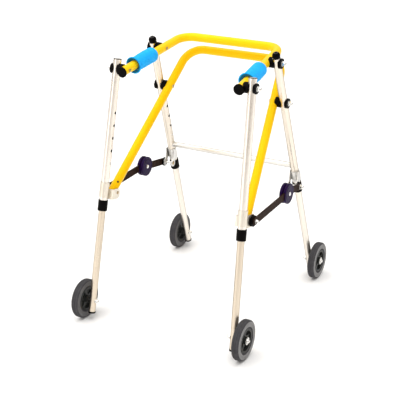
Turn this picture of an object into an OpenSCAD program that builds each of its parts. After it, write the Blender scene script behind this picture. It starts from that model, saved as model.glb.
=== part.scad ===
// Posterior walker: a folding walking frame that opens to the front.
// Two bent bars, four telescopic legs on wheels, and a folding brace on each side.
// Millimetres. +Z up, +Y to the rear, +X to the user's right. The origin is on
// the floor, under the middle of the wheelbase.

/* [Wheels] */
// Outside diameter of each wheel
wheel_d = 125; // [118:1:130]
// Width of each tyre
wheel_w = 24; // [20:1:25]
// Number of spokes in each rim
spokes = 5; // [4:1:6]

/* [Stance] */
// Distance between the front and rear axles
wheelbase = 600; // [590:1:610]
// Distance from the middle plane to a front leg, at its axle
front_half = 247; // [244:1:250]
// Distance from the middle plane to a rear leg, at its axle
rear_half = 238.5; // [236:0.5:241]
// Lean of the front legs, feet forward
front_lean = 11.28; // [11:0.01:11.6]
// Lean of the rear legs, feet to the rear
rear_lean = 19.16; // [18.9:0.01:19.4]
// Outward splay of the front legs
front_splay = 1.87; // [1.6:0.01:2.1]
// Outward splay of the rear legs
rear_splay = 2.12; // [1.9:0.01:2.3]

/* [Tubes] */
// Outside diameter of the upper leg tubes
leg_d = 24.5; // [24.2:0.1:24.8]
// Wall of the upper leg tubes
leg_wall = 1.3; // [1.1:0.1:1.3]
// Outside diameter of the lower leg tubes
low_d = 21.2; // [20.8:0.1:21.2]
// Wall of the lower leg tubes
low_wall = 1.5; // [1.2:0.1:2]
// Outside diameter of the two bent bars
bar_d = 27; // [26.4:0.1:27.4]
// Wall of the two bent bars
bar_wall = 1.6; // [1.2:0.1:2]
// Outside diameter of the rear cross tube
cross_d = 17; // [14:1:18]

/* [Bars] */
// Bend radius of the handle bar
handle_bend = 48; // [40:1:60]
// Bend radius of the lower bar
lower_bend = 62; // [50:1:70]
// Distance of the handle bar's crossbar behind the rear leg pivots
handle_rear = 121; // [115:1:126]
// Distance of the lower bar's crossbar beyond its rear leg pivots
lower_rear = 147; // [142:1:150]

/* [Grips] */
// Diameter of the grips
grip_d = 47; // [42:1:48]
// Diameter of the flange at the front of each grip
grip_flange_d = 54; // [50:1:55]
// Length of the grips
grip_len = 108; // [100:1:112]

/* [Height adjustment] */
// Distance between two height holes along a leg
hole_pitch = 39; // [38:0.5:40]
// Number of height holes in each leg
hole_count = 5; // [4:1:5]

/* [Hidden] */
$fn = 64;
axle_z = wheel_d/2;
// pivot heights: front leg and handle bar, rear leg and handle bar, rear leg and lower bar
za = 781;
zb = 805;
zc = 671;
// leg axes on the right side, by height
function fx(z) = front_half - (z-axle_z)*tan(front_splay);
function fy(z) = -wheelbase/2 + (z-axle_z)*tan(front_lean);
function rx(z) = rear_half - (z-axle_z)*tan(rear_splay);
function ry(z) = wheelbase/2 - (z-axle_z)*tan(rear_lean);
ya = fy(za);
yb = ry(zb);
yc = ry(zc);
// brace pivots: on the front bracket, at the hub, on the rear bracket
zd = 398;
yd = fy(zd) + 37;
xd = fx(zd) - 6;
ze = 379;
ye = ry(ze) - 32;
xe = rx(ze);
yk = yd + 238;
zk = zd + 1;
// bar axes at their pivots
leg_r = leg_d/2;
low_r = low_d/2;
bar_r = bar_d/2;
xa_bar = fx(za) - 32.5;
xb_bar = rx(zb) - 33;
xc_bar = rx(zc) - 33;
// planes of the two bent bars
tilt_h = atan2(zb-za, yb-ya);
len_ab = norm([yb-ya, zb-za]);
splay_h = atan2(xa_bar-xb_bar, len_ab);
tilt_l = atan2(zc-zd, yc-yd);
len_dc = norm([yc-yd, zc-zd]);
splay_l = atan2(xd-xc_bar, len_dc);
// leg tubes, measured along the leg from the axle
f_up0 = 299; f_up1 = 761;
r_up0 = 308; r_up1 = 805;
low0 = -36; low1 = 466;
hole0 = 444.5;
// brace layers, out from the middle plane
x_rl0 = xe + 20.5;      // rear link
x_rl1 = x_rl0 + 4;
x_hub0 = x_rl0 - 4;     // hub
x_hubm = x_rl1 + 3;
x_fl0 = x_hubm + 3;     // front link
x_fl1 = x_fl0 + 4;
x_hub1 = x_fl1 + 4;
link_h = 23;
hub_r = 32;
saddle_r = 16;

steel = [0.78, 0.78, 0.76];
alu = [0.90, 0.88, 0.83];
black = [0.06, 0.055, 0.06];
yellow = [0.99, 0.78, 0.08];
blue = [0.16, 0.62, 0.96];

// ---------- placing ----------
module side(s) { if (s > 0) children(); else mirror([1, 0, 0]) children(); }

// frame of a right leg: origin on the axle, z up along the tube, -x to the inside
module front_leg() {
  u = [-tan(front_splay), tan(front_lean), 1] / norm([tan(front_splay), tan(front_lean), 1]);
  translate([front_half, -wheelbase/2, axle_z]) rotate([-asin(u[1]), atan2(u[0], u[2]), 0]) children();
}
module rear_leg() {
  u = [-tan(rear_splay), -tan(rear_lean), 1] / norm([tan(rear_splay), tan(rear_lean), 1]);
  translate([rear_half, wheelbase/2, axle_z]) rotate([-asin(u[1]), atan2(u[0], u[2]), 0]) children();
}
module leg(front) { if (front) front_leg() children(); else rear_leg() children(); }

module rod(z0, z1, r) { translate([0, 0, z0]) cylinder(h = z1-z0, r = r); }
module xrod(x0, x1, y, z, r) { translate([x0, y, z]) rotate([0, 90, 0]) cylinder(h = x1-x0, r = r); }
// plate whose outline lies in the YZ plane
module plate(x0, x1) { translate([x0, 0, 0]) rotate([90, 0, 90]) linear_extrude(height = x1-x0) children(); }

// ---------- bent bars ----------
module pipe(z0, z1, r, ri) { translate([0, 0, z0]) linear_extrude(height = z1-z0) difference() { circle(r = r); circle(r = ri); } }
// U of round tube: crossbar along x, arms towards -y that splay outwards.
// A faint bead marks each end of a bend.
module u_tube(r, ri, w, len, s, rb) {
  t = rb*tan((90-s)/2);
  b = 0.06;
  rotate([0, 90, 0]) pipe(-(w-t)+0.4, w-t-0.4, r, ri);
  for (m = [0, 1]) mirror([m, 0, 0]) {
    translate([w-t, 0, 0]) rotate([0, 90, 0]) pipe(-1, 0.6, r+b, ri-b);
    translate([w-t, -rb, 0]) rotate([0, 0, s]) rotate_extrude(angle = 90-s) translate([rb, 0]) difference() { circle(r = r); circle(r = ri); }
    translate([w-t+rb*cos(s), -rb+rb*sin(s), 0]) rotate([90, 0, s]) { pipe(-0.6, 1, r+b, ri-b); pipe(0.4, len-t, r, ri); }
  }
}
handle_w = xb_bar - handle_rear*tan(splay_h);
handle_len = (handle_rear + len_ab + 21)/cos(splay_h);
lower_w = xc_bar - lower_rear*tan(splay_l);
lower_len = (lower_rear + len_dc + 11)/cos(splay_l);
module handle_place() { translate([0, yb + handle_rear*cos(tilt_h), zb + handle_rear*sin(tilt_h)]) rotate([tilt_h, 0, 0]) children(); }
module lower_place() { translate([0, yc + lower_rear*cos(tilt_l), zc + lower_rear*sin(tilt_l)]) rotate([tilt_l, 0, 0]) children(); }
// frame at the front end of the right arm of a bar, z out of the end
module arm_end(w, len, s) { translate([w + len*sin(s), -len*cos(s), 0]) rotate([90, 0, s]) children(); }

module handle_tube() {
  color(yellow) difference() {
    handle_place() u_tube(bar_r, bar_r-bar_wall, handle_w, handle_len, splay_h, handle_bend);
    for (s = [-1, 1]) side(s) {
      xrod(xa_bar-20, xa_bar+20, ya, za, 4.08);
      xrod(xb_bar-20, xb_bar+20, yb, zb, 4.08);
    }
  }
}
module lower_bar_tube() {
  color(yellow) difference() {
    lower_place() u_tube(bar_r, bar_r-bar_wall, lower_w, lower_len, splay_l, lower_bend);
    for (s = [-1, 1]) side(s) {
      xrod(xc_bar-20, xc_bar+20, yc, zc, 4.08);
      xrod(xd-22, xd+22, yd, zd, 7);
    }
  }
}
module handle_end_caps() {
  color(black) for (s = [-1, 1]) side(s) handle_place() arm_end(handle_w, handle_len, splay_h) difference() {
    union() {
      rod(-2, 2, bar_r+3);
      rotate_extrude() union() { square([bar_r+1.5, 3.5]); translate([bar_r+1, 2]) circle(r = 1.5); }
    }
    rod(-4, 0, bar_r+0.05);
  }
}
module lower_bar_plugs() {
  color(black) for (s = [-1, 1]) side(s) lower_place() arm_end(lower_w, lower_len, splay_l) {
    rod(0, 2, bar_r-0.3);
    rod(-3, 0, bar_r-bar_wall-0.1);
  }
}
// hand grip: flange at the front, barrel, rounded rear end
module grip(s) {
  flange = 5;
  r = grip_d/2;
  e = 12;
  color(blue) side(s) handle_place() arm_end(handle_w, handle_len, splay_h) translate([0, 0, -59]) rotate([180, 0, 0])
    rotate_extrude() difference() {
      union() {
        square([grip_flange_d/2-1.5, flange]);
        translate([0, 1.5]) square([grip_flange_d/2, flange-3]);
        for (z = [1.5, flange-1.5]) translate([grip_flange_d/2-1.5, z]) circle(r = 1.5);
        square([r, grip_len-e]);
        square([r-e, grip_len]);
        translate([r-e, grip_len-e]) circle(r = e);
      }
      translate([-60, -1]) square([60+bar_r+0.05, grip_len+2]);
    }
}

// ---------- pivots ----------
// pair of saddle washers in the gap between a bar and a leg: inner half on the bar
module bar_saddle(xbar, xleg, y, z) {
  xm = (xbar+bar_r + xleg-leg_r)/2;
  difference() { xrod(xbar+8, xm-0.25, y, z, saddle_r); xrod(xbar, xm+1, y, z, 4.3); }
}
module leg_saddle(xbar, xleg, y, z) {
  xm = (xbar+bar_r + xleg-leg_r)/2;
  difference() { xrod(xm+0.25, xleg-7, y, z, saddle_r); xrod(xm, xleg, y, z, 4.3); }
}
module outer_saddle(xleg, y, z) {
  difference() { xrod(xleg+7, xleg+leg_r+3.5, y, z, saddle_r-0.5); xrod(xleg, xleg+leg_r+5, y, z, 4.3); }
}
// button-head bolt with its head on the inner side
module bolt(x0, x1, y, z, r, head) {
  xrod(x0, x1, y, z, r);
  intersection() {
    xrod(x0-head*0.55, x0, y, z, head);
    translate([x0+head*0.9, y, z]) sphere(r = head*1.35);
  }
}
// acorn nut on a washer, opening to the inside at x
module acorn(x, y, z, r, af) {
  difference() {
    union() {
      xrod(x, x+1.2, y, z, af*0.62);
      translate([x+1.2, y, z]) rotate([0, 90, 0]) cylinder(h = af*0.5, d = af/cos(30), $fn = 6);
      intersection() {
        translate([x+1.2+af*0.5, y, z]) sphere(r = af*0.45);
        xrod(x+1.2+af*0.4, x+1.2+af, y, z, af);
      }
    }
    xrod(x-1, x+1.2+af*0.55, y, z, r+0.05);
  }
}
module handle_washers() {
  color(black) for (s = [-1, 1]) side(s) difference() {
    union() {
      bar_saddle(xa_bar, fx(za), ya, za);
      bar_saddle(xb_bar, rx(zb), yb, zb);
    }
    handle_place() arm_end(handle_w, handle_len, splay_h) rod(-300, 10, bar_r+0.05);
  }
}
module lower_bar_washers() {
  color(black) for (s = [-1, 1]) side(s) difference() {
    bar_saddle(xc_bar, rx(zc), yc, zc);
    lower_place() arm_end(lower_w, lower_len, splay_l) rod(-lower_len+100, 10, bar_r+0.05);
  }
}
module rear_washers() {
  color(black) for (s = [-1, 1]) side(s) {
    difference() {
      union() {
        leg_saddle(xb_bar, rx(zb), yb, zb);
        leg_saddle(xc_bar, rx(zc), yc, zc);
        outer_saddle(rx(zb), yb, zb);
        outer_saddle(rx(zc), yc, zc);
      }
      rear_leg() rod(0, 900, leg_r+0.05);
    }
    difference() { xrod(xe+15.7, x_rl0-0.4, ye, ze, 15); xrod(xe, x_rl0+1, ye, ze, 4.3); }
  }
}
module rear_fasteners() {
  color(steel) for (s = [-1, 1]) side(s) {
    bolt(xb_bar-bar_r-0.8, rx(zb)+leg_r+11, yb, zb, 4, 5.5);
    bolt(xc_bar-bar_r-1.1, rx(zc)+leg_r+11, yc, zc, 4, 5.5);
    bolt(xe-15.7, x_rl1+7, ye, ze, 4, 6.5);
    acorn(rx(zb)+leg_r+3.6, yb, zb, 4, 13);
    acorn(rx(zc)+leg_r+3.6, yc, zc, 4, 13);
    acorn(x_rl1+0.4, ye, ze, 4, 13);
  }
}
module front_washers(s) {
  color(black) side(s) {
    difference() {
      union() {
        leg_saddle(xa_bar, fx(za), ya, za);
        outer_saddle(fx(za), ya, za);
      }
      front_leg() rod(0, 900, leg_r+0.05);
    }
    difference() { xrod(xd+18.6, x_fl0-0.4, yd, zd, 17); xrod(xd, x_fl0+1, yd, zd, 3.3); }
  }
}
module front_fasteners(s) {
  color(steel) side(s) {
    bolt(xa_bar-bar_r-0.8, fx(za)+leg_r+11, ya, za, 4, 5.5);
    acorn(fx(za)+leg_r+3.6, ya, za, 4, 13);
    bolt(xd-bar_r-7.65, x_fl1+6, yd, zd, 3, 5.5);
    difference() { xrod(xd-bar_r-4.55, xd-bar_r-2.5, yd, zd, 9); xrod(xd-bar_r-5, xd, yd, zd, 3.05); }
    acorn(x_fl1+0.4, yd, zd, 3, 10);
  }
}

// ---------- legs ----------
module height_holes() { for (i = [0 : hole_count-1]) translate([0, 0, hole0+i*hole_pitch]) rotate([0, -90, 0]) cylinder(h = 20, r = 4.6); }
module upper_tube(front, z0, z1) {
  difference() { rod(z0, z1, leg_r); rod(z0-1, z1+1, leg_r-leg_wall); height_holes(); }
}
module rear_tube(s) {
  color(alu) side(s) difference() {
    rear_leg() upper_tube(false, r_up0, r_up1);
    xrod(rx(zb)-20, rx(zb)+20, yb, zb, 4.06);
    xrod(rx(zc)-20, rx(zc)+20, yc, zc, 4.06);
  }
}
module front_tube(s) {
  color(alu) side(s) difference() {
    front_leg() upper_tube(true, f_up0, f_up1);
    xrod(fx(za)-20, fx(za)+20, ya, za, 4.06);
  }
}
module rear_caps() {
  color(black) for (s = [-1, 1]) side(s) rear_leg() {
    rod(r_up1-12, r_up1, leg_r-leg_wall-0.1);
    intersection() {
      translate([0, 0, r_up1+7.5]) sphere(r = 12.4);
      rod(r_up1, r_up1+30, 20);
    }
  }
}
module front_plug(s) {
  color(black) side(s) front_leg() {
    rod(f_up1-12, f_up1, leg_r-leg_wall-0.1);
    rod(f_up1, f_up1+1.6, leg_r);
  }
}
module collar(z0, z1) {
  difference() {
    union() {
      rod(z0+1.2, z1-1.2, 14.9);
      for (z = [z0+1.2, z1-1.2]) translate([0, 0, z]) rotate_extrude() union() { translate([0, -1.2]) square([13.7, 2.4]); translate([13.7, 0]) circle(r = 1.2); }
    }
    rod(z0+5, z1+1, leg_r+0.05);
    rod(z0-1, z1, low_r+0.35);
  }
}
module rear_collars() { color(black) for (s = [-1, 1]) side(s) rear_leg() collar(r_up0-5, r_up0+30); }
module front_collar(s) { color(black) side(s) front_leg() collar(f_up0-5, f_up0+29); }

// sleeve with a rear fork: the end of the lower bar turns between an outer ear and an inner cheek
module front_bracket(s) {
  x0 = xd+bar_r+2;
  x1 = xd-bar_r-4.6;
  color(alu) side(s) difference() {
    union() {
      front_leg() rod(337, 384, leg_r+2.1);
      plate(x0, x0+3) translate([yd, zd]) rotate(-front_lean) {
        translate([-36, -19]) square([43, 38]);
        translate([0, -12]) square([14, 24]);
        for (k = [-12, 12]) translate([7, k]) circle(r = 7);
      }
      plate(x1-3, x1) translate([yd, zd]) rotate(-front_lean) {
        translate([-27, -19]) square([27, 32]);
        for (k = [-6, 0]) translate([0, k]) circle(r = 13);
      }
      plate(x1-3, xd+6) translate([yd, zd]) rotate(-front_lean) translate([-27, -19]) square([3, 32]);
    }
    front_leg() rod(300, 400, leg_r+0.05);
    xrod(xd-30, xd+30, yd, zd, 3.05);
  }
}
// sleeve with two hollowed triangular cheeks that carry the brace pivot
module rear_brackets() {
  y1 = ry(426);
  color(alu) for (s = [-1, 1]) side(s) difference() {
    union() {
      rear_leg() rod(345, 387, leg_r+1.8);
      for (x = [xe-15.6, xe+12.7]) plate(x, x+2.9) {
        translate([ye, ze]) circle(r = 12);
        difference() {
          polygon([[ye-12, ze], [y1-11, 426], [y1+3, 426], [ry(392)+2, 392], [ry(392)-15, 391], [ye+10, ze-6.6]]);
          translate([ye-46, ze+38.6]) circle(r = 50);
        }
      }
    }
    rear_leg() rod(300, 500, leg_r+0.05);
    xrod(xe-30, xe+30, ye, ze, 4.05);
  }
}
module rear_cross_tube() {
  z = 443;
  color(alu) difference() {
    xrod(-rx(z), rx(z), ry(z), z, cross_d/2);
    xrod(-rx(z)-1, rx(z)+1, ry(z), z, cross_d/2-1.3);
    for (s = [-1, 1]) side(s) rear_leg() rod(300, 500, leg_r+0.05);
  }
}

// ---------- lower legs and wheels ----------
module lower_leg(front, s) {
  xl = front ? front_half : rear_half;
  yl = (front ? -1 : 1)*wheelbase/2;
  color(alu) side(s) difference() {
    leg(front) difference() {
      rod(low0, low1, low_r);
      rod(low0-1, low1+1, low_r-low_wall);
      translate([0, 0, hole0]) rotate([0, -90, 0]) cylinder(h = 20, r = 4.3);
    }
    xrod(xl-20, xl+20, yl, axle_z, 4.05);
  }
}
module foot_plug(front, s) {
  color(black) side(s) leg(front) {
    rod(low0-5, low0, low_r+0.9);
    rod(low0, low0+14, low_r-low_wall-0.1);
  }
}
// spring button that clicks into a height hole
module button(front, s) {
  color(steel) side(s) leg(front) intersection() {
    translate([-2.5, 0, hole0]) rotate([0, -90, 0]) cylinder(h = 10, r = 4.2);
    rod(hole0-10, hole0+10, low_r+0.1);
  }
}
function wheel_x(front) = front ? front_half+31 : rear_half+28.5;
module axle(front, s) {
  xl = front ? front_half : rear_half;
  yl = (front ? -1 : 1)*wheelbase/2;
  xw = wheel_x(front);
  color(steel) side(s) {
    // bolt, with a domed head outside the wheel
    x0 = xl-low_r-6;
    l = xw+15.2-x0;
    translate([x0, yl, axle_z]) rotate([0, 90, 0]) rotate_extrude() union() {
      square([4, l]);
      translate([0, l-1.4]) square([8.5, 1.4]);
      intersection() { translate([0, l-1.8]) circle(r = 7.2); translate([0, l-0.5]) square([20, 20]); }
    }
    // spacer between the leg and the wheel
    difference() { xrod(xl+low_r-3, xw-14.1, yl, axle_z, 7.5); leg(front) rod(-50, 60, low_r+0.05); xrod(xl, xw, yl, axle_z, 4.05); }
    // nut on the inner side
    difference() { mirror([1, 0, 0]) acorn(-(xl-low_r+0.6), yl, axle_z, 4, 12); leg(front) rod(-50, 60, low_r+0.05); }
  }
}
module wheel_place(front) { translate([wheel_x(front), (front ? -1 : 1)*wheelbase/2, axle_z]) rotate([0, 90, 0]) children(); }
module tyre(front, s) {
  e = 7;
  r0 = 37.5;
  r1 = wheel_d/2;
  w = wheel_w/2;
  color([0.36, 0.36, 0.38]) side(s) wheel_place(front) rotate_extrude($fn = 96) union() {
    translate([r0, -w+3]) square([r1-e-r0, wheel_w-6]);
    translate([r0+4, -w]) square([r1-e-r0-4, wheel_w]);
    translate([r0, -w+e]) square([r1-r0, wheel_w-2*e]);
    for (z = [-w+e, w-e]) translate([r1-e, z]) circle(r = e);
  }
}
// rim: outer ring, hub and a web with a row of pockets on each face
module rim(front, s) {
  w = wheel_w/2;
  color([0.13, 0.13, 0.14]) side(s) wheel_place(front) difference() {
    union() {
      difference() { rod(-w+2, w-2, 37.45); rod(-w, w, 31.5); }
      rod(-13.5, 13.5, 12);
      difference() {
        rod(-5.5, 5.5, 32.5);
        for (m = [0, 1], i = [0 : spokes-1]) mirror([0, 0, m]) rotate(i*360/spokes) translate([0, 0, 1.5]) linear_extrude(height = 6) difference() {
          intersection() {
            circle(r = 29.5);
            polygon([[6, 0], [60*cos(180/spokes), -60*sin(180/spokes)], [70, 0], [60*cos(180/spokes), 60*sin(180/spokes)]]);
          }
          circle(r = 16);
          for (k = [-1, 1]) rotate(k*180/spokes) translate([0, -4]) square([60, 8]);
        }
      }
    }
    rod(-20, 20, 4.08);
  }
}

// ---------- braces ----------
module brace_front_link(s) {
  a = atan2(zk-zd, yk-yd);
  l = norm([yk-yd, zk-zd]);
  color([0.22, 0.19, 0.17]) side(s) plate(x_fl0, x_fl1) translate([yd, zd]) rotate(a) difference() {
    union() { circle(r = link_h/2); translate([0, -link_h/2]) square([l, link_h]); translate([l, 0]) circle(r = link_h/2); }
    circle(r = 3.08);
  }
}
module brace_rear_link(s) {
  a = atan2(zk-ze, yk-ye);
  l = norm([yk-ye, zk-ze]);
  color([0.22, 0.19, 0.17]) side(s) plate(x_rl0, x_rl1) translate([ye, ze]) rotate(a) difference() {
    union() { circle(r = link_h/2); translate([0, -link_h/2]) square([l, link_h]); translate([l, 0]) circle(r = link_h/2); }
    circle(r = 4.08);
  }
}
module disc(x0, x1, r) {
  e = 2;
  union() {
    xrod(x0+e, x1-e, yk, zk, r);
    for (x = [x0+e, x1-e]) translate([x, yk, zk]) rotate([0, 90, 0]) rotate_extrude() union() { translate([0, -e]) square([r-e, 2*e]); translate([r-e, 0]) circle(r = e); }
  }
}
module brace_hub_outer(s) {
  a = atan2(zk-zd, yk-yd);
  l = norm([yk-yd, zk-zd]);
  color([0.15, 0.10, 0.23]) side(s) difference() {
    disc(x_hubm+0.25, x_hub1, hub_r);
    plate(x_fl0-0.05, x_fl1+0.05) translate([yd, zd]) rotate(a) { translate([0, -link_h/2-0.05]) square([l, link_h+0.1]); translate([l, 0]) circle(r = link_h/2+0.05); }
  }
}
module brace_hub_inner(s) {
  a = atan2(zk-ze, yk-ye);
  l = norm([yk-ye, zk-ze]);
  color([0.15, 0.10, 0.23]) side(s) difference() {
    disc(x_hub0, x_hubm-0.25, hub_r);
    plate(x_rl0-0.05, x_rl1+0.05) translate([ye, ze]) rotate(a) { translate([0, -link_h/2-0.05]) square([l, link_h+0.1]); translate([l, 0]) circle(r = link_h/2+0.05); }
  }
}

rear_tube(-1);  // rear_tube_left
rear_tube(1);  // rear_tube_right
rear_caps();
rear_cross_tube();
rear_brackets();
rear_collars();
rear_washers();
rear_fasteners();
handle_tube();
handle_end_caps();
grip(-1);  // grip_left
grip(1);  // grip_right
handle_washers();
lower_bar_tube();
lower_bar_plugs();
lower_bar_washers();
front_tube(-1);  // front_tube_left
front_plug(-1);  // front_plug_left
front_bracket(-1);  // front_bracket_left
front_collar(-1);  // front_collar_left
front_washers(-1);  // front_washers_left
front_fasteners(-1);  // front_fasteners_left
front_tube(1);  // front_tube_right
front_plug(1);  // front_plug_right
front_bracket(1);  // front_bracket_right
front_collar(1);  // front_collar_right
front_washers(1);  // front_washers_right
front_fasteners(1);  // front_fasteners_right
brace_front_link(-1);  // brace_front_link_left
brace_hub_outer(-1);  // brace_hub_outer_left
brace_front_link(1);  // brace_front_link_right
brace_hub_outer(1);  // brace_hub_outer_right
brace_rear_link(-1);  // brace_rear_link_left
brace_hub_inner(-1);  // brace_hub_inner_left
brace_rear_link(1);  // brace_rear_link_right
brace_hub_inner(1);  // brace_hub_inner_right
lower_leg(true, -1);  // lower_leg_front_left
foot_plug(true, -1);  // foot_plug_front_left
axle(true, -1);  // axle_front_left
button(true, -1);  // button_front_left
tyre(true, -1);  // tyre_front_left
rim(true, -1);  // rim_front_left
lower_leg(true, 1);  // lower_leg_front_right
foot_plug(true, 1);  // foot_plug_front_right
axle(true, 1);  // axle_front_right
button(true, 1);  // button_front_right
tyre(true, 1);  // tyre_front_right
rim(true, 1);  // rim_front_right
lower_leg(false, -1);  // lower_leg_rear_left
foot_plug(false, -1);  // foot_plug_rear_left
axle(false, -1);  // axle_rear_left
button(false, -1);  // button_rear_left
tyre(false, -1);  // tyre_rear_left
rim(false, -1);  // rim_rear_left
lower_leg(false, 1);  // lower_leg_rear_right
foot_plug(false, 1);  // foot_plug_rear_right
axle(false, 1);  // axle_rear_right
button(false, 1);  // button_rear_right
tyre(false, 1);  // tyre_rear_right
rim(false, 1);  // rim_rear_right
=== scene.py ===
import math

import bmesh
import bpy
import numpy as np
from mathutils import Euler, Matrix, Vector


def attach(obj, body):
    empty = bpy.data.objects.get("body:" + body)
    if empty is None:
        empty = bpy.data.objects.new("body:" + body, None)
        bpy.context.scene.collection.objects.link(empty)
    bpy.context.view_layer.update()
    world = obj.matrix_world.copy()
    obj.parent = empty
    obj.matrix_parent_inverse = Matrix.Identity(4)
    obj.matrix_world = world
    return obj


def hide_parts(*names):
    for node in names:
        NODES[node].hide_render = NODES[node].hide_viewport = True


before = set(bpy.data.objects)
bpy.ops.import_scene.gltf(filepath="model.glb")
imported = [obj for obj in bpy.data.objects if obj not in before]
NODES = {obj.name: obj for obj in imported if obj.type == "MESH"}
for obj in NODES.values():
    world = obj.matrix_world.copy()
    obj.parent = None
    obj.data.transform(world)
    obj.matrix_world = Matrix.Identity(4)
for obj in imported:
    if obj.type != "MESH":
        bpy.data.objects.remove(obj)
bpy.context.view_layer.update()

MM = 0.001
SIDES = (("right", 1), ("left", -1))
ENDS = ("front", "rear")

# ------------------------------------------------------------------
# The frame's own dimensions, in millimetres
# ------------------------------------------------------------------
WHEELBASE, FRONT_HALF, REAR_HALF, AXLE_Z = 600.0, 247.0, 238.5, 62.5
FL, RL, FS, RS = (math.radians(a) for a in (11.28, 19.16, 1.87, 2.12))
ZA, ZB, ZC, ZD, ZE = 781.0, 805.0, 671.0, 398.0, 379.0


def fx(z): return FRONT_HALF - (z - AXLE_Z) * math.tan(FS)
def fy(z): return -WHEELBASE / 2 + (z - AXLE_Z) * math.tan(FL)
def rx(z): return REAR_HALF - (z - AXLE_Z) * math.tan(RS)
def ry(z): return WHEELBASE / 2 - (z - AXLE_Z) * math.tan(RL)


YA, YB, YC = fy(ZA), ry(ZB), ry(ZC)
YD, XD = fy(ZD) + 37, fx(ZD) - 6
YE, XE = ry(ZE) - 32, rx(ZE)
YK, ZK = YD + 238, ZD + 1
XA_BAR, XB_BAR, XC_BAR = fx(ZA) - 32.5, rx(ZB) - 33, rx(ZC) - 33
X_RL0 = XE + 20.5
X_HUB0, X_HUBM = X_RL0 - 4, X_RL0 + 7
X_FL0 = X_HUBM + 3
X_HUB1 = X_FL0 + 8
LEG_DIR = {
    "front": Vector((-math.tan(FS), math.tan(FL), 1)).normalized(),
    "rear": Vector((-math.tan(RS), -math.tan(RL), 1)).normalized(),
}
R_UP1 = 805.0
AXLE = {"front": Vector((FRONT_HALF, -WHEELBASE / 2, AXLE_Z)), "rear": Vector((REAR_HALF, WHEELBASE / 2, AXLE_Z))}
WHEEL_X = {"front": FRONT_HALF + 31, "rear": REAR_HALF + 28.5}

# handle bar: plane, splay, front end and direction of its right arm
TH = math.atan2(ZB - ZA, YB - YA)
LEN_AB = math.hypot(YB - YA, ZB - ZA)
SH = math.atan2(XA_BAR - XB_BAR, LEN_AB)
H_REAR = 121.0
H_W = XB_BAR - H_REAR * math.tan(SH)
H_LEN = (H_REAR + LEN_AB + 21) / math.cos(SH)
H_O = Vector((0, YB + H_REAR * math.cos(TH), ZB + H_REAR * math.sin(TH)))
# lower bar
TL = math.atan2(ZC - ZD, YC - YD)
LEN_DC = math.hypot(YC - YD, ZC - ZD)
SL = math.atan2(XD - XC_BAR, LEN_DC)
L_REAR = 147.0
L_W = XC_BAR - L_REAR * math.tan(SL)
L_LEN = (L_REAR + LEN_DC + 11) / math.cos(SL)
L_O = Vector((0, YC + L_REAR * math.cos(TL), ZC + L_REAR * math.sin(TL)))


def arm_point(o, w, s, t, along):
    """Point on the axis of a bar's right arm, at a distance from its crossbar's corner."""
    return Vector((w + along * math.sin(s), o.y - along * math.cos(s) * math.cos(t), o.z - along * math.cos(s) * math.sin(t)))


def arm_dir(s, t):
    return Vector((math.sin(s), -math.cos(s) * math.cos(t), -math.cos(s) * math.sin(t)))


def mirrored(v, k):
    return Vector((k * v.x, v.y, v.z))


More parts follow.
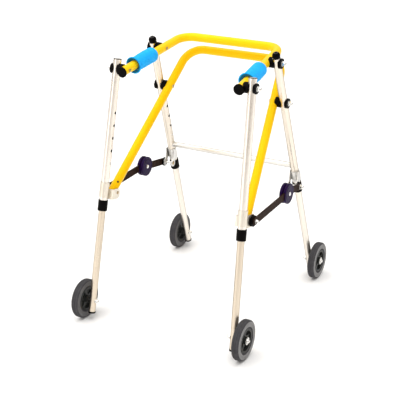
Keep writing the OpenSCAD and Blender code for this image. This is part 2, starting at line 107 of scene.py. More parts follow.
# ------------------------------------------------------------------
# Materials
# ------------------------------------------------------------------
class Mat:
    """A principled material and a short way to add nodes to it."""

    def __init__(self, name):
        self.m = bpy.data.materials.new(name)
        self.m.use_nodes = True
        self.nt = self.m.node_tree
        self.b = self.nt.nodes["Principled BSDF"]
        self.tc = self.nt.nodes.new("ShaderNodeTexCoord")

    def set(self, **kw):
        for k, v in kw.items():
            self.b.inputs[k.replace("_", " ")].default_value = v
        return self

    def link(self, a, b):
        self.nt.links.new(a, b)

    def coords(self, scale=(1, 1, 1), rot=(0, 0, 0), loc=(0, 0, 0)):
        n = self.nt.nodes.new("ShaderNodeMapping")
        n.vector_type = "TEXTURE"
        n.inputs["Location"].default_value = loc
        n.inputs["Rotation"].default_value = rot
        n.inputs["Scale"].default_value = scale
        self.link(self.tc.outputs["Object"], n.inputs["Vector"])
        return n.outputs["Vector"]

    def noise(self, scale, detail=3, rough=0.5, vec=None, distortion=0.0):
        n = self.nt.nodes.new("ShaderNodeTexNoise")
        n.inputs["Scale"].default_value = scale
        n.inputs["Detail"].default_value = detail
        n.inputs["Roughness"].default_value = rough
        n.inputs["Distortion"].default_value = distortion
        self.link(vec if vec is not None else self.tc.outputs["Object"], n.inputs["Vector"])
        return n.outputs[0]

    def cells(self, scale, vec=None, feature="F1"):
        n = self.nt.nodes.new("ShaderNodeTexVoronoi")
        n.feature = feature
        n.inputs["Scale"].default_value = scale
        self.link(vec if vec is not None else self.tc.outputs["Object"], n.inputs["Vector"])
        return n.outputs[0]

    def ramp(self, fac, lo, hi, out0=0.0, out1=1.0, smooth=False):
        n = self.nt.nodes.new("ShaderNodeMapRange")
        n.interpolation_type = "SMOOTHSTEP" if smooth else "LINEAR"
        n.inputs["From Min"].default_value = lo
        n.inputs["From Max"].default_value = hi
        n.inputs["To Min"].default_value = out0
        n.inputs["To Max"].default_value = out1
        self.link(fac, n.inputs["Value"])
        return n.outputs["Result"]

    def mix(self, fac, a, b):
        n = self.nt.nodes.new("ShaderNodeMix")
        n.data_type = "RGBA"
        self.link(fac, n.inputs[0])
        for sock, v in ((n.inputs[6], a), (n.inputs[7], b)):
            if isinstance(v, (tuple, list)):
                sock.default_value = (*v, 1.0)
            else:
                self.link(v, sock)
        return n.outputs[2]

    def math(self, op, a, b):
        n = self.nt.nodes.new("ShaderNodeMath")
        n.operation = op
        for sock, v in ((n.inputs[0], a), (n.inputs[1], b)):
            if isinstance(v, (int, float)):
                sock.default_value = v
            else:
                self.link(v, sock)
        return n.outputs[0]

    def bump(self, height, strength, distance, normal=None):
        n = self.nt.nodes.new("ShaderNodeBump")
        n.inputs["Strength"].default_value = strength
        n.inputs["Distance"].default_value = distance
        self.link(height, n.inputs["Height"])
        if normal is not None:
            self.link(normal, n.inputs["Normal"])
        return n.outputs["Normal"]

    def color(self, out): self.link(out, self.b.inputs["Base Color"])
    def rough(self, out): self.link(out, self.b.inputs["Roughness"])
    def normal(self, out): self.link(out, self.b.inputs["Normal"])


def paint_yellow(name, c0, c1, gloss):
    m = Mat(name)
    m.set(Metallic=0.0, IOR=1.5, Specular_IOR_Level=0.45, Specular_Tint=gloss)
    broad = m.noise(5.0, 2)
    base = m.mix(m.ramp(broad, 0.35, 0.65), c0, c1)
    scuff = m.noise(120.0, 8, 0.7, vec=m.coords((1, 0.35, 0.35)))
    scuff = m.ramp(scuff, 0.69, 0.76, smooth=True)
    m.color(m.mix(m.math("MULTIPLY", scuff, 0.35), base, (0.70, 0.38, 0.01)))
    fine = m.noise(420.0, 3)
    m.rough(m.math("ADD", m.ramp(fine, 0.3, 0.7, 0.27, 0.36), m.math("MULTIPLY", scuff, 0.18)))
    peel = m.bump(m.noise(750.0, 2), 0.10, 0.0003)
    m.normal(m.bump(m.noise(38.0, 2), 0.05, 0.0006, peel))
    return m.m


def foam_blue(name, c0, c1, pore_shade_color):
    m = Mat(name)
    m.set(Metallic=0.0, IOR=1.42, Specular_IOR_Level=0.35, Specular_Tint=(0.25, 0.80, 1.0, 1.0), Sheen_Weight=0.12, Sheen_Roughness=0.45, Sheen_Tint=(0.30, 0.80, 1.0, 1.0))
    pores = m.cells(950.0)
    lumps = m.noise(70.0, 4, 0.6)
    base = m.mix(m.ramp(lumps, 0.3, 0.7), c0, c1)
    # the pores get a darker blue: painted shade in the foam's pores
    pore_shade_mask = m.ramp(pores, 0.10, 0.34)
    m.color(m.mix(pore_shade_mask, pore_shade_color, base))
    m.rough(m.ramp(lumps, 0.3, 0.7, 0.58, 0.74))
    n = m.bump(pores, 0.35, 0.0006)
    m.normal(m.bump(lumps, 0.20, 0.0012, n))
    return m.m


def aluminium(name, end, k, tint, tint2):
    """Drawn tube: fine lines along the leg, soft blotches of the anodised film, a few handling marks."""
    u = LEG_DIR[end]
    a, b = -math.asin(u.y), math.atan2(k * u.x, u.z)
    m = Mat(name)
    # the near-black Specular Tint darkens the grazing edges: a painted dark reflection along the tube's edges
    m.set(Metallic=1.0, Specular_Tint=(0.04, 0.04, 0.04, 1.0))
    lines = m.noise(1.0, 4, 0.55, vec=m.coords((0.0011, 0.0011, 0.22), (a, b, 0)))
    film = m.noise(9.0, 4, 0.55)
    base = m.mix(m.ramp(lines, 0.25, 0.75), tint, tint2)
    marks = m.ramp(m.noise(95.0, 9, 0.72, vec=m.coords((1, 1, 0.4), (a, b, 0))), 0.70, 0.78, smooth=True)
    m.color(m.mix(m.math("MULTIPLY", marks, 0.35), base, (0.62, 0.57, 0.51)))
    r = m.math("ADD", m.ramp(lines, 0.25, 0.75, 0.24, 0.34), m.ramp(film, 0.3, 0.7, -0.03, 0.05))
    m.rough(m.math("ADD", r, m.math("MULTIPLY", marks, 0.15)))
    m.normal(m.bump(lines, 0.06, 0.0002))
    return m.m


def aluminium_cross():
    m = Mat("bare_cross_tube")
    # the near-black Specular Tint darkens the grazing edges: a painted dark reflection along the tube's edges
    m.set(Metallic=1.0, Specular_Tint=(0.04, 0.04, 0.04, 1.0))
    lines = m.noise(1.0, 4, 0.55, vec=m.coords((0.22, 0.0011, 0.0011)))
    film = m.noise(11.0, 4, 0.55)
    m.color(m.mix(m.ramp(lines, 0.25, 0.75), (0.72, 0.695, 0.645), (0.82, 0.795, 0.745)))
    m.rough(m.math("ADD", m.ramp(lines, 0.25, 0.75, 0.24, 0.34), m.ramp(film, 0.3, 0.7, -0.03, 0.05)))
    m.normal(m.bump(lines, 0.06, 0.0002))
    return m.m


def cast_bracket(name, c0, c1):
    m = Mat(name)
    # the low Specular Tint darkens the grazing edges: a painted dark reflection along the bracket's edges
    m.set(Metallic=1.0, Specular_Tint=(0.3, 0.3, 0.3, 1.0))
    grain = m.noise(900.0, 3, 0.6)
    cloud = m.noise(28.0, 4, 0.55)
    m.color(m.mix(m.ramp(cloud, 0.3, 0.7), c0, c1))
    m.rough(m.math("ADD", m.ramp(grain, 0.3, 0.7, 0.32, 0.46), m.ramp(cloud, 0.3, 0.7, -0.04, 0.04)))
    m.normal(m.bump(grain, 0.12, 0.0003))
    return m.m


def bright_steel():
    m = Mat("bright_zinc")
    m.set(Metallic=1.0)
    cloud = m.noise(160.0, 4, 0.6)
    scratch = m.noise(1.0, 5, 0.7, vec=m.coords((0.004, 0.0005, 0.0009), (0.5, 0.3, 0.9)))
    m.color(m.mix(m.ramp(cloud, 0.3, 0.7), (0.70, 0.69, 0.66), (0.86, 0.85, 0.83)))
    m.rough(m.math("ADD", m.ramp(cloud, 0.3, 0.7, 0.14, 0.26), m.ramp(scratch, 0.55, 0.8, 0.0, 0.12)))
    m.normal(m.bump(scratch, 0.08, 0.0002))
    return m.m


# darker brownish metal: painted shade and painted reflection of the yellow bars on the heads
def head_painted_shade():
    m = Mat("head_painted_shade")
    m.set(Metallic=1.0)
    cloud = m.noise(240.0, 4, 0.6)
    m.color(m.mix(m.ramp(cloud, 0.3, 0.7), (0.36, 0.25, 0.13), (0.50, 0.38, 0.22)))
    m.rough(m.ramp(cloud, 0.3, 0.7, 0.30, 0.42))
    m.normal(m.bump(m.noise(900.0, 3), 0.12, 0.0002))
    return m.m


def black_plastic(name="black_moulded", c0=(0.0012, 0.0008, 0.0009), c1=(0.0034, 0.0026, 0.0028), r0=0.36, r1=0.54, spec=0.05):
    m = Mat(name)
    m.set(Metallic=0.0, IOR=1.47, Specular_IOR_Level=spec)
    grain = m.noise(1100.0, 3, 0.6)
    cloud = m.noise(60.0, 4, 0.55)
    m.color(m.mix(m.ramp(cloud, 0.3, 0.7), c0, c1))
    m.rough(m.math("ADD", m.ramp(grain, 0.3, 0.7, r0, r1), m.ramp(cloud, 0.3, 0.7, -0.05, 0.05)))
    m.normal(m.bump(grain, 0.20, 0.0003))
    return m.m


def hub_plastic():
    m = Mat("hub_purple_black")
    m.set(Metallic=0.0, IOR=1.5, Specular_IOR_Level=0.09, Specular_Tint=(0.52, 0.40, 0.82, 1.0))
    cloud = m.noise(70.0, 4, 0.55)
    grain = m.noise(1000.0, 3, 0.6)
    m.color(m.mix(m.ramp(cloud, 0.3, 0.7), (0.008, 0.0022, 0.024), (0.019, 0.0065, 0.050)))
    m.rough(m.ramp(grain, 0.3, 0.7, 0.30, 0.44))
    m.normal(m.bump(grain, 0.15, 0.0003))
    return m.m


def link_paint():
    m = Mat("link_dark_paint")
    m.set(Metallic=0.0, IOR=1.5, Specular_IOR_Level=0.03, Specular_Tint=(1.0, 0.60, 0.40, 1.0))
    cloud = m.noise(45.0, 5, 0.6)
    grain = m.noise(700.0, 3, 0.6)
    wear = m.ramp(m.noise(150.0, 8, 0.72, vec=m.coords((1, 0.3, 1))), 0.66, 0.74, smooth=True)
    base = m.mix(m.ramp(cloud, 0.3, 0.7), (0.013, 0.0062, 0.0040), (0.034, 0.0170, 0.0112))
    m.color(m.mix(m.math("MULTIPLY", wear, 0.45), base, (0.10, 0.075, 0.06)))
    m.rough(m.math("ADD", m.ramp(grain, 0.3, 0.7, 0.38, 0.52), m.math("MULTIPLY", wear, -0.08)))
    m.normal(m.bump(grain, 0.15, 0.0003))
    return m.m


def tyre_rubber(name, c0, c1, speck):
    m = Mat(name)
    m.set(Metallic=0.0, IOR=1.45, Specular_IOR_Level=0.3)
    dust = m.noise(55.0, 6, 0.62)
    grain = m.noise(1300.0, 3, 0.6)
    fleck = m.ramp(m.noise(420.0, 4, 0.7), 0.60, 0.72)
    base = m.mix(m.ramp(dust, 0.3, 0.7), c0, c1)
    m.color(m.mix(m.math("MULTIPLY", fleck, 0.5), base, speck))
    m.rough(m.ramp(dust, 0.3, 0.7, 0.62, 0.80))
    m.normal(m.bump(grain, 0.25, 0.0004))
    return m.m


M_YELLOW = paint_yellow("yellow_powder_coat", (0.94, 0.580, 0.004), (0.99, 0.640, 0.006), (1.0, 0.86, 0.10, 1.0))
# the lower bar gets a darker, more orange copy of the yellow coat: painted shade from the upper bar
M_YELLOW_SHADED = paint_yellow("yellow_powder_coat_painted_shade", (0.93, 0.535, 0.003), (0.98, 0.590, 0.005), (1.0, 0.77, 0.08, 1.0))
M_FOAM = foam_blue("blue_foam", (0.008, 0.375, 0.96), (0.014, 0.465, 1.0), (0.006, 0.27, 0.80))
M_FOAM_SHADED = foam_blue("blue_foam_painted_shade", (0.006, 0.130, 0.330), (0.010, 0.175, 0.420), (0.004, 0.085, 0.24))
# front and rear tubes of the same aluminium get different tints: painted light and shade (rear upper darker, front
# lower darker beige, rear lower whiter)
TOP_TINT_WITH_PAINTED_SHADING = {"front": ((0.90, 0.83, 0.745), (0.97, 0.915, 0.84)), "rear": ((0.80, 0.725, 0.62), (0.87, 0.80, 0.70))}
LOW_TINT_WITH_PAINTED_SHADING = {"front": ((0.695, 0.595, 0.47), (0.755, 0.665, 0.545)), "rear": ((0.83, 0.775, 0.69), (0.90, 0.85, 0.775))}
M_ALU = {(e, s): aluminium(f"bare_tube_{e}_{s}", e, k, *TOP_TINT_WITH_PAINTED_SHADING[e]) for e in ENDS for s, k in SIDES}
M_LOW = {(e, s): aluminium(f"lower_tube_{e}_{s}", e, k, *LOW_TINT_WITH_PAINTED_SHADING[e]) for e in ENDS for s, k in SIDES}
M_CROSS = aluminium_cross()
M_BRACKET = cast_bracket("bracket_satin", (0.78, 0.715, 0.605), (0.89, 0.835, 0.735))
M_BRACKET_REAR = cast_bracket("bracket_satin_rear", (0.70, 0.685, 0.655), (0.82, 0.81, 0.785))
M_STEEL = bright_steel()
M_HEAD_SHADED = head_painted_shade()
# near-black colour used as painted shade in bores and on the inner bearing rings
M_SHADE_DARK = black_plastic("dark_painted_shade", (0.010, 0.009, 0.008), (0.028, 0.026, 0.024), 0.55, 0.75, 0.1)
M_BLACK = black_plastic()
M_CAP = black_plastic("black_soft_cap", (0.0010, 0.0007, 0.0007), (0.0030, 0.0023, 0.0023), 0.30, 0.44, 0.045)
M_PLUG = black_plastic("grey_plug", (0.34, 0.33, 0.31), (0.44, 0.43, 0.40), 0.45, 0.6, 0.3)
M_RIM = black_plastic("rim_moulded", (0.013, 0.0140, 0.0130), (0.029, 0.031, 0.029), 0.34, 0.50, 0.24)
M_HUB = hub_plastic()
M_LINK = link_paint()
M_TYRE = tyre_rubber("grey_rubber_tread", (0.034, 0.033, 0.037), (0.060, 0.058, 0.063), (0.10, 0.098, 0.098))
# paler sidewall: partly the rubber's own tone, partly painted light; the inner copy is painted shade
M_SIDEWALL = tyre_rubber("grey_rubber_side", (0.185, 0.183, 0.186), (0.260, 0.257, 0.258), (0.33, 0.325, 0.32))
M_SIDEWALL_SHADED = tyre_rubber("grey_rubber_side_painted_shade", (0.088, 0.086, 0.088), (0.135, 0.132, 0.134), (0.19, 0.187, 0.185))


def dress(o, mat):
    o.data.materials.clear()
    o.data.materials.append(mat)
    for p in o.data.polygons:
        p.material_index = 0


def cad_material(n):
    for e in ENDS:
        for s, _ in SIDES:
            if n == f"{e}_tube_{s}": return M_ALU[(e, s)]
            if n == f"lower_leg_{e}_{s}": return M_LOW[(e, s)]
    if n == "handle_tube": return M_YELLOW
    if n == "lower_bar_tube": return M_YELLOW_SHADED
    if n.startswith("grip"): return M_FOAM
    if n == "rear_cross_tube": return M_CROSS
    if "bracket" in n: return M_BRACKET_REAR if n.startswith("rear") else M_BRACKET
    if "fasteners" in n or n.startswith(("axle", "button")): return M_STEEL
    if n.startswith("tyre"): return M_TYRE
    if n.startswith("rim"): return M_RIM
    if "link" in n: return M_LINK
    if "hub" in n: return M_HUB
    if "caps" in n: return M_CAP
    return M_BLACK


for name, o in NODES.items():
    dress(o, cad_material(name))
    # a small break on the sharp edges of the plates and blocks
    if "link" in name or "bracket" in name or name.startswith("rim"):
        bev = o.modifiers.new("edge_break", "BEVEL")
        bev.width = 0.0006 if "bracket" in name else 0.0005
        bev.segments = 2
        bev.limit_method = "ANGLE"
        bev.angle_limit = math.radians(40)
        bev.harden_normals = False


# the bores of the upper tubes get a dark colour: painted shade inside the tube and its holes
for e in ENDS:
    for s, k in SIDES:
        o = NODES[f"{e}_tube_{s}"]
        o.data.materials.append(M_SHADE_DARK)
        a0, u = mirrored(AXLE[e], k), mirrored(LEG_DIR[e], k)
        for poly in o.data.polygons:
            d = poly.center / MM - a0
            inside = all((w - u * w.dot(u)).length < 12.0 for w in (o.data.vertices[i].co / MM - a0 for i in poly.vertices))
            if inside and (d - u * d.dot(u)).length < 11.5:
                poly.material_index = 1

# the heads on the inner side of the yellow bars get a darker brownish colour than the nuts outside: painted shade and
# painted reflection of the yellow bars
for name, o in NODES.items():
    if "fasteners" not in name:
        continue
    o.data.materials.append(M_HEAD_SHADED)
    for poly in o.data.polygons:
        w = poly.center / MM
        bar = XA_BAR if abs(w.z - ZA) < 20 and w.y < 0 else XB_BAR if w.z > ZA else XC_BAR if w.z > 600 else XD
        if abs(w.x) < bar - 12.5:
            poly.material_index = 1


# ------------------------------------------------------------------
# Mesh helpers (millimetres in, metres out; every object sits at the origin)
# ------------------------------------------------------------------
def make_object(name, verts, faces, mat, body, sharp=35.0):
    me = bpy.data.meshes.new(name)
    me.from_pydata([tuple(Vector(v) * MM) for v in verts], [], faces)
    bm = bmesh.new()
    bm.from_mesh(me)
    bmesh.ops.remove_doubles(bm, verts=bm.verts, dist=1e-7)
    bmesh.ops.recalc_face_normals(bm, faces=bm.faces)
    lim = math.radians(sharp)
    for f in bm.faces:
        f.smooth = True
    for e in bm.edges:
        e.smooth = len(e.link_faces) == 2 and e.calc_face_angle(0.0) < lim
    bm.to_mesh(me)
    bm.free()
    o = bpy.data.objects.new(name, me)
    bpy.context.scene.collection.objects.link(o)
    me.materials.append(mat)
    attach(o, body)
    return o


def basis(axis):
    w = Vector(axis).normalized()
    u = Vector((0, 0, 1)).cross(w)
    if u.length < 1e-3:
        u = Vector((0, 1, 0)).cross(w)
    u.normalize()
    return u, w.cross(u), w


def arc(cr, cz, r, a0, a1, n):
    """Points (radius, height) of an arc, angles in degrees from the outward radius towards +height."""
    return [(cr + r * math.cos(math.radians(a0 + (a1 - a0) * i / n)), cz + r * math.sin(math.radians(a0 + (a1 - a0) * i / n))) for i in range(n + 1)]


def lathe(profile, origin, axis, seg, closed, wobble=None):
    """Vertices and faces of a profile of (radius, height) points turned about an axis."""
    u, v, w = basis(axis)
    origin = Vector(origin)
    verts, rings = [], []
    for i, (r, h) in enumerate(profile):
        if r < 1e-6:
            rings.append([len(verts)])
            verts.append(origin + w * h)
            continue
        ring = []
        for j in range(seg):
            t = 2 * math.pi * j / seg
            rr = r + (wobble(t, h, r) if wobble else 0.0)
            ring.append(len(verts))
            verts.append(origin + w * h + u * (rr * math.cos(t)) + v * (rr * math.sin(t)))
        rings.append(ring)
    faces = []
    pairs = list(zip(rings[:-1], rings[1:]))
    if closed:
        pairs.append((rings[-1], rings[0]))
    for a, b in pairs:
        for j in range(seg):
            k = (j + 1) % seg
            if len(a) == 1 and len(b) == 1:
                continue
            if len(a) == 1:
                faces.append((a[0], b[k], b[j]))
            elif len(b) == 1:
                faces.append((a[j], a[k], b[0]))
            else:
                faces.append((a[j], a[k], b[k], b[j]))
    return verts, faces


def dome(name, r, h, edge, origin, axis, mat, body, seg=40):
    """Low rivet or pin head."""
    prof = [(0, 0), (r, 0), (r, edge)]
    prof += [(r * math.cos(math.radians(a)), edge + (h - edge) * math.sin(math.radians(a))) for a in range(10, 90, 10)]
    prof += [(0, h)]
    v, f = lathe(prof, origin, axis, seg, False)
    return make_object(name, v, f, mat, body, 50)


# ------------------------------------------------------------------
# Soft grips
# ------------------------------------------------------------------
def grip_wobble(seed):
    def w(t, h, r):
        if r < 14:
            return 0.0
        a = 0.16 * math.sin(3 * t + h * 0.05 + seed) + 0.12 * math.sin(5 * t - h * 0.11 + 2 * seed)
        return a + 0.12 * math.sin(h * 0.23 + 1.7 * seed) + 0.05 * math.sin(11 * t + h * 0.6 + seed)
    return w


for side, k in SIDES:
    end = mirrored(arm_point(H_O, H_W, SH, TH, H_LEN), k)
    out = mirrored(arm_dir(SH, TH), k)
    start = end - out * 59.0
    L = 108.0
    # funnel of the front flange, rolled lip, neck, barrel, rounded rear end, bore
    prof = [(13.6, 10.5), (14.4, 8.6), (16.6, 6.0), (19.4, 3.9), (21.8, 2.3), (23.4, 1.1)]
    prof += arc(24.7, 2.3, 2.2, -108, 82, 10)
    prof += [(24.3, 5.0), (23.2, 6.6), (22.4, 8.6), (22.0, 11.0)]
    for i in range(1, 26):
        h = 11.0 + (L - 13.0 - 11.0) * i / 25
        prof.append((22.0 + 1.4 * math.sin(0.5 * math.pi * min(1.0, (h - 11) / 56)) - 0.15 * max(0.0, (h - 67) / 28), h))
    prof += arc(23.25 - 10.0, L - 10.6, 10.0, 5, 76, 10)
    prof += [(13.9, L - 0.8), (13.6, L - 1.6)]
    prof += [(13.6, (L - 1.6) * (1 - i / 6) + 10.5 * (i / 6)) for i in range(1, 6)]
    v, f = lathe(prof, start, -out, 96, True, grip_wobble(1.0 if k > 0 else 2.3))
    g = make_object(f"foam_grip_{side}", v, f, M_FOAM, "handle_bar", 60)
    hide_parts(f"grip_{side}")
    # the funnel's front face gets a darker blue: painted shade on the flange's front face
    g.data.materials.append(M_FOAM_SHADED)
    for poly in g.data.polygons:
        w = [g.data.vertices[i].co / MM - start for i in poly.vertices]
        h = [-q.dot(out) for q in w]
        r = [(q - out * q.dot(out)).length for q in w]
        if max(h) < 10.8 and max(r) < 23.9 and all(b < 1.7 or a < 22.5 for a, b in zip(r, h)):
            poly.material_index = 1

# ------------------------------------------------------------------
# Tyres with grooved tread, bead ring and moulded lines; wheel bearings
# ------------------------------------------------------------------
for e in ENDS:
    for side, k in SIDES:
        q = f"{e}_{side}"
        c = Vector((k * WHEEL_X[e], AXLE[e].y, AXLE_Z))
        half = [(37.52, 0.0), (37.52, 8.0), (38.0, 8.8), (38.9, 9.3), (40.6, 9.4), (41.2, 9.9), (41.7, 11.0), (42.6, 11.5)]
        half += [(45.0, 11.75), (48.4, 11.9), (48.8, 11.35), (49.6, 11.35), (50.0, 11.95), (55.5, 12.0)]
        half += arc(55.5, 5.0, 7.0, 82, 8, 9)
        half += [(62.5, 4.6), (62.45, 3.9), (61.3, 3.65), (61.3, 2.45), (62.45, 2.2), (62.5, 1.4)]
        prof = half + [(r, -h) for r, h in reversed(half[1:])]
        v, f = lathe(prof, c, (1, 0, 0), 128, True)
        t = make_object(f"tread_tyre_{q}", v, f, M_TYRE, f"wheel_{q}", 38)
        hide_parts(f"tyre_{q}")
        # paler flat of the sidewall, partly paler rubber and partly painted light; on the side next to the leg it is
        # darker: painted shade from the leg
        t.data.materials.append(M_SIDEWALL)
        t.data.materials.append(M_SIDEWALL_SHADED)
        for poly in t.data.polygons:
            d = [t.data.vertices[i].co / MM - c for i in poly.vertices]
            if all(abs(w.x) > 11.2 and 42.0 < math.hypot(w.y, w.z) < 57.5 for w in d):
                poly.material_index = 1 if d[0].x * k > 0 else 2
        for s in (1, -1):
            ring = [(8.9, 13.5), (8.9, 13.72), (9.6, 13.78), (11.4, 13.78), (11.8, 13.5)]
            v, f = lathe([(r, s * h) for r, h in ring], c, (1, 0, 0), 48, True)
            # the inner bearing ring, next to the leg, takes the dark colour: painted shade
            make_object(f"bearing_ring_{q}_{'out' if s * k > 0 else 'in'}", v, f, M_STEEL if s * k > 0 else M_SHADE_DARK, f"wheel_{q}", 30)

# ------------------------------------------------------------------
# Brace hubs: two ringed discs, and a bright pin head on each face
# ------------------------------------------------------------------
def hub_profile(r, w, faced):
    """Disc from height 0 to w; the face at w carries ring relief."""
    p = [(0, 0.0), (r - 6.0, 0.0), (r - 5.6, 0.5), (r - 1.5, 2.3)]
    p += arc(r - 1.1, 3.6, 1.1, -75, 0, 4)
    p += arc(r - 1.6, w - 1.6, 1.6, 0, 90, 5)
    if faced:
        p += [(r - 4.2, w), (r - 4.8, w - 0.7), (r - 8.5, w - 0.7), (r - 9.1, w), (12.6, w), (12.0, w - 0.5), (9.4, w - 0.5), (8.8, w)]
    p += [(0, w)]
    return p


for side, k in SIDES:
    # inner half, on the rear link: its ringed face looks to the inside
    v, f = lathe(hub_profile(32.0, X_HUBM - 0.25 - X_HUB0, True), (k * (X_HUBM - 0.25), YK, ZK), (-k, 0, 0), 72, False)
    o = make_object(f"hub_disc_inner_{side}", v, f, M_HUB, f"brace_rear_{side}", 35)
    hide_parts(f"brace_hub_inner_{side}")
    dome(f"hub_pin_inner_{side}", 6.4, 3.2, 1.0, (k * X_HUB0, YK, ZK), (-k, 0, 0), M_STEEL, f"brace_rear_{side}")
    # outer half, on the front link
    v, f = lathe(hub_profile(32.0, X_HUB1 - X_HUBM - 0.25, True), (k * (X_HUBM + 0.25), YK, ZK), (k, 0, 0), 72, False)
    o = make_object(f"hub_disc_outer_{side}", v, f, M_HUB, f"brace_front_{side}", 35)
    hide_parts(f"brace_hub_outer_{side}")
    dome(f"hub_pin_outer_{side}", 6.4, 3.2, 1.0, (k * X_HUB1, YK, ZK), (k, 0, 0), M_STEEL, f"brace_front_{side}")

# ------------------------------------------------------------------
# Small trim: plug faces, rivets, weld beads
# ------------------------------------------------------------------
# grey ring colour: a painted highlight on the lip of the cap's dish
M_CAP_HIGHLIGHT = black_plastic("painted_highlight_cap_ring", (0.10, 0.095, 0.09), (0.17, 0.16, 0.15), 0.30, 0.42, 0.35)
M_RIVET = black_plastic("dark_rivet", (0.05, 0.022, 0.010), (0.09, 0.045, 0.022), 0.35, 0.5)
for side, k in SIDES:
    # pale face of the plug in the top of a front leg
    u = mirrored(LEG_DIR["front"], k)
    top = mirrored(AXLE["front"], k) + u * (761 + 1.6)
    prof = [(0, -0.3), (10.6, -0.3), (10.6, 0.25), (10.1, 0.6), (3.0, 0.75), (0, 0.75)]
    v, f = lathe(prof, top, u, 48, False)
    make_object(f"leg_top_face_{side}", v, f, M_PLUG, f"front_leg_{side}", 40)
    # rivet through the lower bar above its front end
    p = arm_point(L_O, L_W, SL, TL, L_LEN - 11 - 33)
    d = arm_dir(SL, TL)
    inward = (Vector((-1, 0, 0)) - d * Vector((-1, 0, 0)).dot(d)).normalized()
    inward = (Matrix.Rotation(math.radians(-48), 3, d) @ inward).normalized()
    for tag, sgn in (("in", 1), ("out", -1)):
        q = mirrored(p + inward * (sgn * 13.35), k)
        dome(f"bar_rivet_{tag}_{side}", 3.3, 1.5, 0.4, q, mirrored(inward * sgn, k), M_RIVET, "lower_bar", 24)

# domed caps of the rear legs, with a dished ring in the top; the grey ring laid in the dish is a painted highlight on
# its lip
verts, faces = [], []
for side, k in SIDES:
    u = mirrored(LEG_DIR["rear"], k)
    top = mirrored(AXLE["rear"], k) + u * R_UP1
    prof = [(0, 0.05), (9.8, 0.05)] + arc(0, 7.5, 12.38, -36.5, 57, 18)
    prof += [(6.2, 18.05), (5.5, 17.6), (5.0, 16.7), (4.3, 16.3), (2.4, 16.4), (0, 16.5)]
    v, f = lathe(prof, top, u, 56, False)
    faces += [tuple(i + len(verts) for i in q) for q in f]
    verts += v
    ring = arc(5.5, 17.15, 0.95, 0, 330, 11)
    v, f = lathe(ring, top, u, 48, True)
    make_object(f"cap_ring_{side}", v, f, M_CAP_HIGHLIGHT, "rear_frame", 80)
caps = make_object("rear_cap_domes", verts, faces, M_CAP, "rear_frame", 50)
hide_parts("rear_caps")

# weld bead where the cross tube meets each rear leg
z0 = 443.0
for side, k in SIDES:
    u = LEG_DIR["rear"]
    a0 = AXLE["rear"]
    n, m = 96, 10
    curve = []
    for i in range(n):
        t = 2 * math.pi * i / n
        q = Vector((0, ry(z0) + 8.5 * math.cos(t), z0 + 8.5 * math.sin(t)))
        # nearest x on the inner side where the point lies on the leg's surface
        d0 = q - a0
        pu = Vector((1, 0, 0)) - u * u.x
        pd = d0 - u * d0.dot(u)
        A, B, C = pu.dot(pu), 2 * pu.dot(pd), pd.dot(pd) - 12.85 ** 2
        x = (-B - math.sqrt(max(B * B - 4 * A * C, 0))) / (2 * A)
        curve.append(Vector((x, q.y, q.z)))
    verts, faces = [], []
    for i, p in enumerate(curve):
        t = 2 * math.pi * i / n
        tan = (curve[(i + 1) % n] - curve[i - 1]).normalized()
        radial = Vector((0, math.cos(t), math.sin(t)))
        radial = (radial - tan * radial.dot(tan)).normalized()
        side_v = tan.cross(radial)
        rb = 1.55 + 0.22 * math.sin(20 * t) + 0.10 * math.sin(7 * t + 1)
        for j in range(m):
            g = 2 * math.pi * j / m
            w = p + radial * (rb * math.cos(g)) + side_v * (rb * math.sin(g))
            verts.append(mirrored(w, k))
    for i in range(n):
        for j in range(m):
            i2, j2 = (i + 1) % n, (j + 1) % m
            faces.append((i * m + j, i * m + j2, i2 * m + j2, i2 * m + j))
    make_object(f"weld_bead_{side}", verts, faces, M_BRACKET_REAR, "rear_frame", 80)

# ------------------------------------------------------------------
# Stage, light, camera
# ------------------------------------------------------------------
floor_me = bpy.data.meshes.new("floor")
floor_me.from_pydata([(-14, -14, 0), (14, -14, 0), (14, 14, 0), (-14, 14, 0)], [], [(0, 1, 2, 3)])
floor = bpy.data.objects.new("floor", floor_me)
bpy.context.scene.collection.objects.link(floor)
fm = bpy.data.materials.new("studio_floor")
fm.use_nodes = True
fb = fm.node_tree.nodes["Principled BSDF"]
fb.inputs["Base Color"].default_value = (0.90, 0.90, 0.905, 1)
fb.inputs["Roughness"].default_value = 0.9
fb.inputs["Specular IOR Level"].default_value = 0.1
floor_me.materials.append(fm)

scene = bpy.context.scene
world = bpy.data.worlds.new("studio")
scene.world = world
world.use_nodes = True
wt = world.node_tree
bg = wt.nodes["Background"]
bg.inputs["Strength"].default_value = 0.85
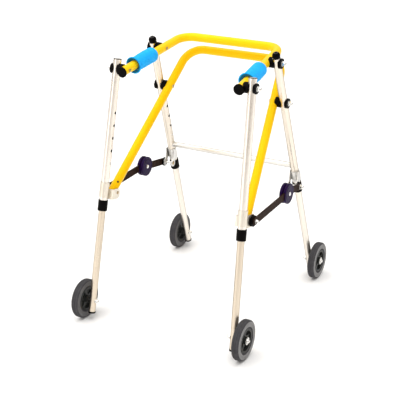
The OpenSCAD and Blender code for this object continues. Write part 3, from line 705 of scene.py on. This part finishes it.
# bright dome above, dimmer and warmer towards the horizon
wc = wt.nodes.new("ShaderNodeTexCoord")
ws = wt.nodes.new("ShaderNodeSeparateXYZ")
wt.links.new(wc.outputs["Generated"], ws.inputs["Vector"])
wr = wt.nodes.new("ShaderNodeValToRGB")
wr.color_ramp.elements[0].position = 0.0
wr.color_ramp.elements[0].color = (0.50, 0.455, 0.41, 1)
wr.color_ramp.elements[1].position = 0.62
wr.color_ramp.elements[1].color = (0.98, 0.97, 0.95, 1)
e = wr.color_ramp.elements.new(0.22)
e.color = (0.68, 0.64, 0.60, 1)
wt.links.new(ws.outputs["Z"], wr.inputs["Fac"])
wt.links.new(wr.outputs["Color"], bg.inputs["Color"])


def area(name, loc, target, size, power, color=(1, 1, 1)):
    l = bpy.data.lights.new(name, "AREA")
    l.shape = "RECTANGLE"
    l.size, l.size_y = size
    l.energy = power
    l.color = color
    o = bpy.data.objects.new(name, l)
    o.location = loc
    o.rotation_euler = (Vector(target) - Vector(loc)).to_track_quat("-Z", "Y").to_euler()
    scene.collection.objects.link(o)
    return o


sun = bpy.data.lights.new("soft_top", "SUN")
sun.energy = 2.3
sun.angle = math.radians(80)
sun.color = (1.0, 0.985, 0.96)
sun_o = bpy.data.objects.new("soft_top", sun)
sun_o.rotation_euler = Vector((0.10, 0.15, -1.0)).to_track_quat("-Z", "Y").to_euler()
scene.collection.objects.link(sun_o)
area("key_box", (-1.7, -3.2, 1.3), (0, 0, 0.45), (0.9, 2.0), 14, (1, 0.985, 0.96))

cam_data = bpy.data.cameras.new("camera")
cam_data.sensor_width = 36.0
cam_data.lens = 1018.1 * 36.0 / 400.0
cam_data.clip_end = 60
cam = bpy.data.objects.new("camera", cam_data)
cam.location = (1.3837, -2.6508, 1.5832)
cam.rotation_euler = Euler((math.radians(90 - 22.54), 0, math.radians(27.99)))
scene.collection.objects.link(cam)
scene.camera = cam

scene.view_settings.view_transform = "Standard"
scene.view_settings.look = "None"
scene.view_settings.exposure = 0.0
scene.view_settings.gamma = 1.0
